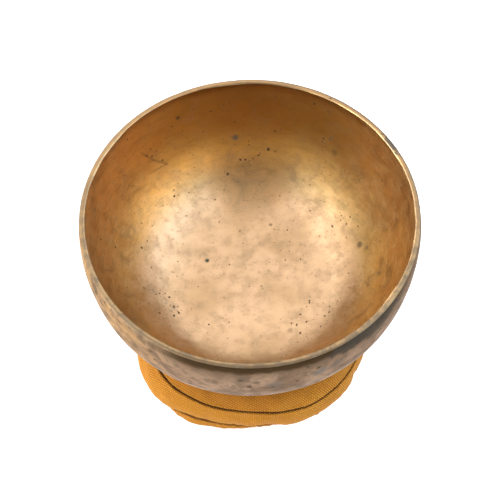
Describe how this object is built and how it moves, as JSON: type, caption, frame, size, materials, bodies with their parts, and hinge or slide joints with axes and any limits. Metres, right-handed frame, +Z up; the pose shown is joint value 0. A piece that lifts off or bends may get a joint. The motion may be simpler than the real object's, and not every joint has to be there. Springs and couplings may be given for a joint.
{
  "type": "singing bowl",
  "caption": "Hand-beaten bronze singing bowl with a straight lip, round wall and small flat foot, resting on a stuffed canvas ring cushion.",
  "frame": {"origin": "on the bowl's axis, at the surface that the cushion stands on", "axes": "+Z up along the bowl's axis, -Y towards the viewer of the bowl, +X to the viewer's right"},
  "size_m": [0.1822, 0.1822, 0.1224],
  "materials": {
    "aged_bronze": "satin",
    "ochre_canvas": "matte",
    "ochre_thread": "matte",
    "cotton_wadding": "matte"
  },
  "bodies": {
    "cushion": {"top_panel": "ochre_canvas", "side_panel": "ochre_canvas", "base_panel": "ochre_canvas", "filling": "cotton_wadding", "top_seam_thread": "ochre_thread", "base_seam_thread": "ochre_thread", "hole_seam_thread": "ochre_thread"},
    "bowl": {"bowl": "aged_bronze"}
  },
  "joints": [
    {"name": "bowl_lift", "type": "slide", "parent": "cushion", "child": "bowl", "axis": [0, 0, 1], "range_m": [0, 0.12]}
  ]
}
